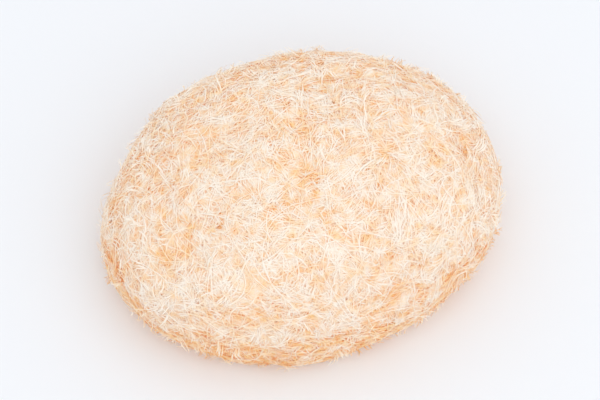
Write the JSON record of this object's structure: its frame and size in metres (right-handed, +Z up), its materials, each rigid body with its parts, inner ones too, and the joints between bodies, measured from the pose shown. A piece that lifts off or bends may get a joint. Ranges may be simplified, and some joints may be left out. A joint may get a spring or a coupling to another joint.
{
  "type": "edible bird's nest",
  "caption": "Dried edible bird's nest: an oval dome of matted cream strands, hollow underneath, that rests on the flat foot of its rim.",
  "frame": {"origin": "middle of the bottom of the nest's box, on the surface that it rests on", "axes": "+Z up through the crown of the dome, +X along the long axis towards the fuller end"},
  "size_m": [0.07, 0.054, 0.03],
  "materials": {
    "dried_strands": "matted, dried translucent strands, cream with warm pits"
  },
  "bodies": {
    "root": {"nest": "dried_strands"}
  },
  "joints": []
}
